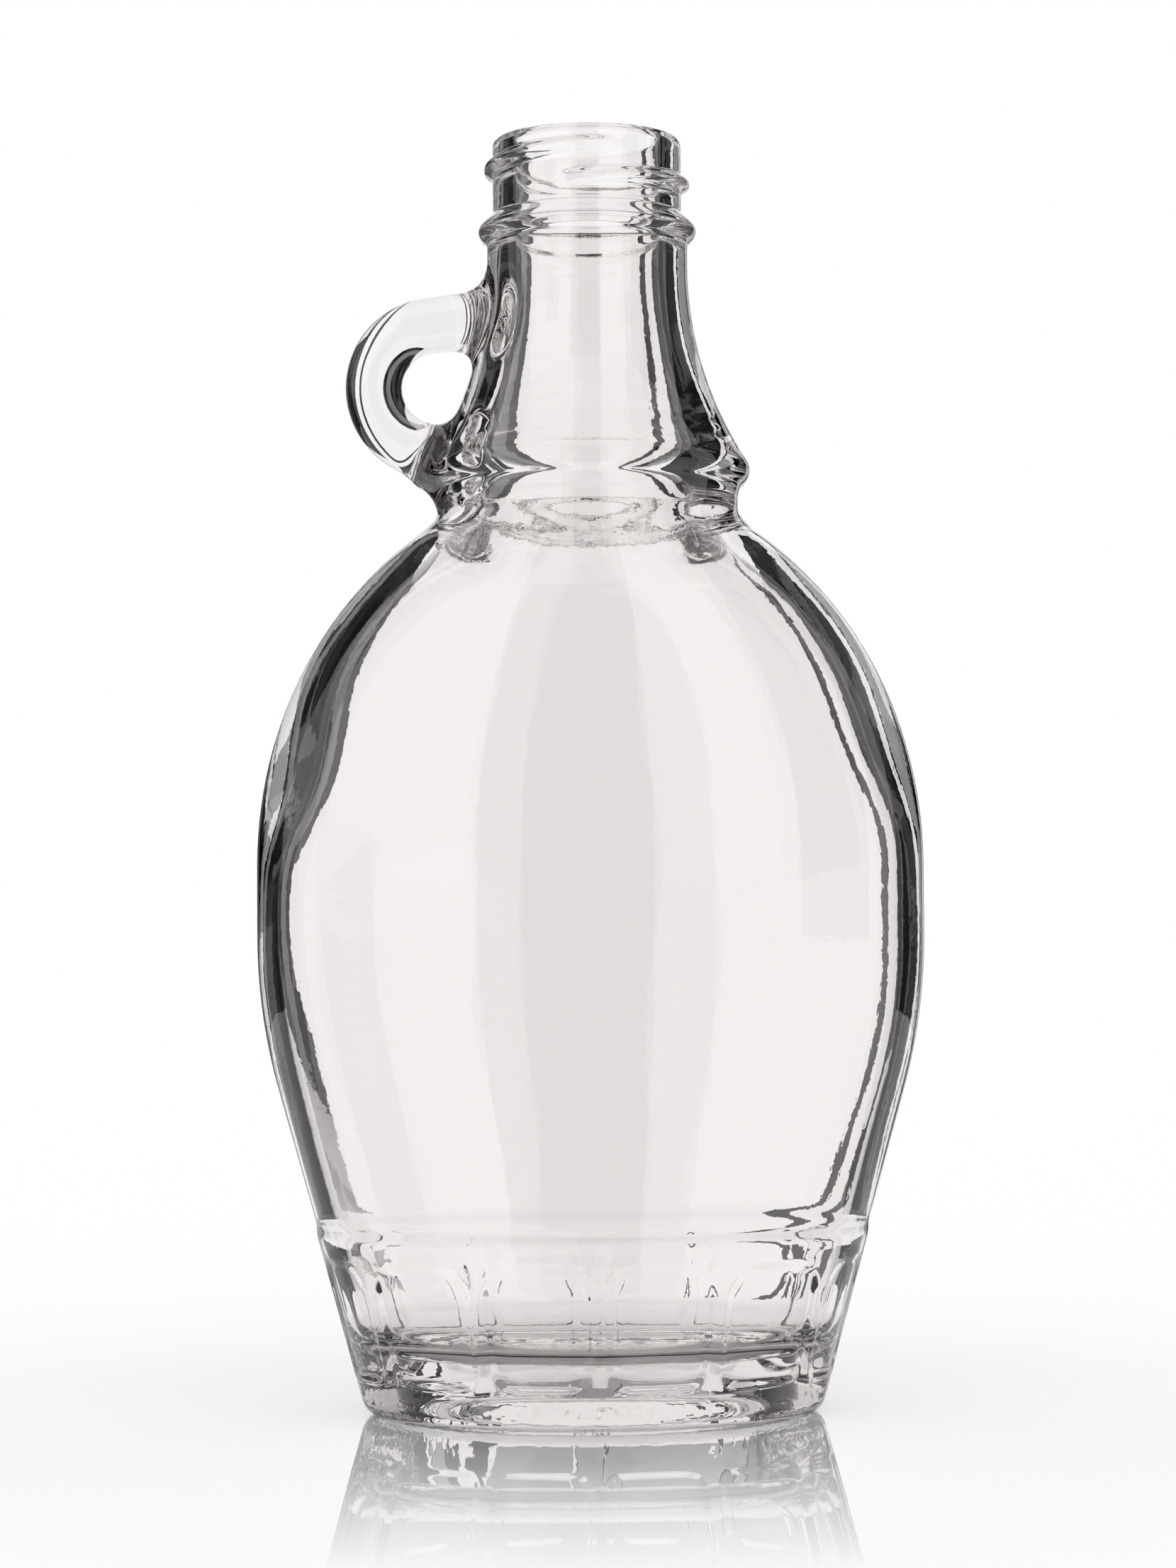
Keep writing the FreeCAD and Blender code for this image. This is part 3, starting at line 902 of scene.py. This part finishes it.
# %% Card materials
black_level, grey_level, mirror_level = 0.01, 0.2, 0.36
black_card = matt_material("black_card", black_level)
grey_card = matt_material("grey_card", grey_level)
edge_card = matt_material("edge_card", black_level)
mirror_card = matt_material("mirror_card", mirror_level)
for material in (edge_card, mirror_card):
    nodes, links = material.node_tree.nodes, material.node_tree.links
    path = nodes.new("ShaderNodeLightPath")
    gone = nodes.new("ShaderNodeBsdfTransparent")
    choice = nodes.new("ShaderNodeMixShader")
    both = product(path.outputs["Glossy Depth"], path.outputs["Transmission Depth"], clamp=True)
    links.new(both, choice.inputs["Fac"])
    links.new(gone.outputs["BSDF"], choice.inputs[1])
    links.new(nodes["Principled BSDF"].outputs["BSDF"], choice.inputs[2])
    links.new(choice.outputs["Shader"], nodes["Material Output"].inputs["Surface"])
print("card materials:", black_card.name, grey_card.name, edge_card.name, mirror_card.name)

# %% Card helpers
card_radius = 2.5
card_height = 2.5


def unseen(thing):
    """Leave a studio piece to the glass only: through it and in its shine."""
    bpy.context.collection.objects.link(thing)
    thing.visible_camera = False
    thing.visible_diffuse = False
    thing.visible_shadow = False


def curved_card(name, start, end, outline, material):
    """Stand a curved card round the bottle: radius and height of its outline, lowest edge first.

    Its ends are in degrees from straight behind the bottle, counted towards the handle.
    """
    turns = np.radians(np.linspace(start, end, 2 + int(end - start) // 4))
    corners = [(-r * math.sin(turn), r * math.cos(turn), z) for turn in turns for r, z in outline]
    steps = len(outline)
    starts = [n * steps + m for n in range(len(turns) - 1) for m in range(steps - 1)]
    mesh = bpy.data.meshes.new(name)
    mesh.from_pydata(corners, [], [(n, n + steps, n + steps + 1, n + 1) for n in starts])
    mesh.materials.append(material)
    unseen(bpy.data.objects.new(name, mesh))


print("cards stand", card_radius, "m away")

# %% Dark cards
# Each card: its two ends, where it begins on the board, and for a far card its material.
near_radius = 0.42
board_gap = 0.001
far_cards = (
    (15.0, 19.5, 0.16, black_card),
    (19.5, 27.5, 0.16, grey_card),
    (27.5, 77.0, near_radius, black_card),
    (-20.5, -17.0, 0.09, black_card),
    (-36.0, -29.0, 0.09, black_card),
    (-80.0, -36.0, near_radius, black_card),
    (-132.0, -104.0, card_radius, black_card),
    (158.0, 193.0, 0.13, black_card),
)
near_cards = ((15.0, 84.0, 0.09), (-80.0, -36.0, 0.09))
mirror_start, mirror_end, mirror_height = -16.5, 14.5, 0.85
for count, (start, end, near_edge, material) in enumerate(far_cards):
    outline = [(card_radius, board_gap), (card_radius, card_height)]
    if near_edge < card_radius:
        outline.insert(0, (near_edge, board_gap))
    curved_card(f"far_card_{count}", start, end, outline, material)
for count, (start, end, near_edge) in enumerate(near_cards):
    outline = [(near_edge, board_gap), (near_radius, board_gap)]
    curved_card(f"near_card_{count}", start, end, outline, edge_card)
outline = [(card_radius, board_gap), (card_radius, mirror_height)]
curved_card("mirror_card", mirror_start, mirror_end, outline, mirror_card)
print("cards:", len(far_cards) + len(near_cards) + 1)

# %% [markdown]
# ## Light
# Plain white light comes from all round, as in a light tent. Two brighter panels in front, left
# and right, draw the long soft streaks on the broad front.

# %% Light tent and panels
panel_light = 1.15
panel_low = 0.1
panels = ((106.0, 156.0), (-164.0, -138.0))
world = bpy.data.worlds.new("white_tent")
bpy.context.scene.world = world
world.use_nodes = True
tent = world.node_tree.nodes["Background"]
tent.inputs["Color"].default_value = (1, 1, 1, 1)
tent.inputs["Strength"].default_value = 1.0
bright_panel = bpy.data.materials.new("bright_panel")
bright_panel.use_nodes = True
shader = bright_panel.node_tree.nodes["Principled BSDF"]
shader.inputs["Base Color"].default_value = (0, 0, 0, 1)
shader.inputs["Emission Color"].default_value = (1, 1, 1, 1)
shader.inputs["Emission Strength"].default_value = panel_light
outline = [(card_radius, panel_low), (card_radius, card_height)]
for count, (start, end) in enumerate(panels):
    curved_card(f"bright_panel_{count}", start, end, outline, bright_panel)
print("bright panels:", len(panels))

# %% [markdown]
# ## Camera
# The picture was taken from below the middle of the bottle, half a metre away, looking up a little,
# with the bottle turned by a couple of degrees. The lens follows from the bottle's size in the
# picture. Light crosses up to four walls and is thrown back inside them, so it may bounce often.

# %% Camera
image_height = 2212
focal_pixels = 5274
camera_distance = 0.4966
camera_height = 0.0636
bottle_turn = math.radians(2.0)
pitch = math.radians(2.226)
aim_left = math.radians(0.038)
roll = math.radians(-0.36)
camera_data = bpy.data.cameras.new("photo_camera")
camera_data.sensor_fit = "VERTICAL"
camera_data.sensor_height = 36.0
camera_data.lens = focal_pixels * camera_data.sensor_height / image_height
camera_data.clip_start = 0.01
camera = bpy.data.objects.new("photo_camera", camera_data)
bpy.context.collection.objects.link(camera)
stand = Matrix.Translation((-camera_distance * math.sin(bottle_turn),
                            -camera_distance * math.cos(bottle_turn), camera_height))
sideways = Matrix.Rotation(aim_left - bottle_turn, 4, "Z")
upward = Matrix.Rotation(math.pi / 2 + pitch, 4, "X")
camera.matrix_world = stand @ sideways @ upward @ Matrix.Rotation(roll, 4, "Z")
print("lens in millimetres:", round(camera_data.lens, 1))

# %% Picture settings
scene = bpy.context.scene
scene.camera = camera
scene.view_settings.view_transform = "Standard"
scene.cycles.max_bounces = 20
scene.cycles.transmission_bounces = 20
scene.cycles.glossy_bounces = 12
print("light bounces at most", scene.cycles.max_bounces, "times")
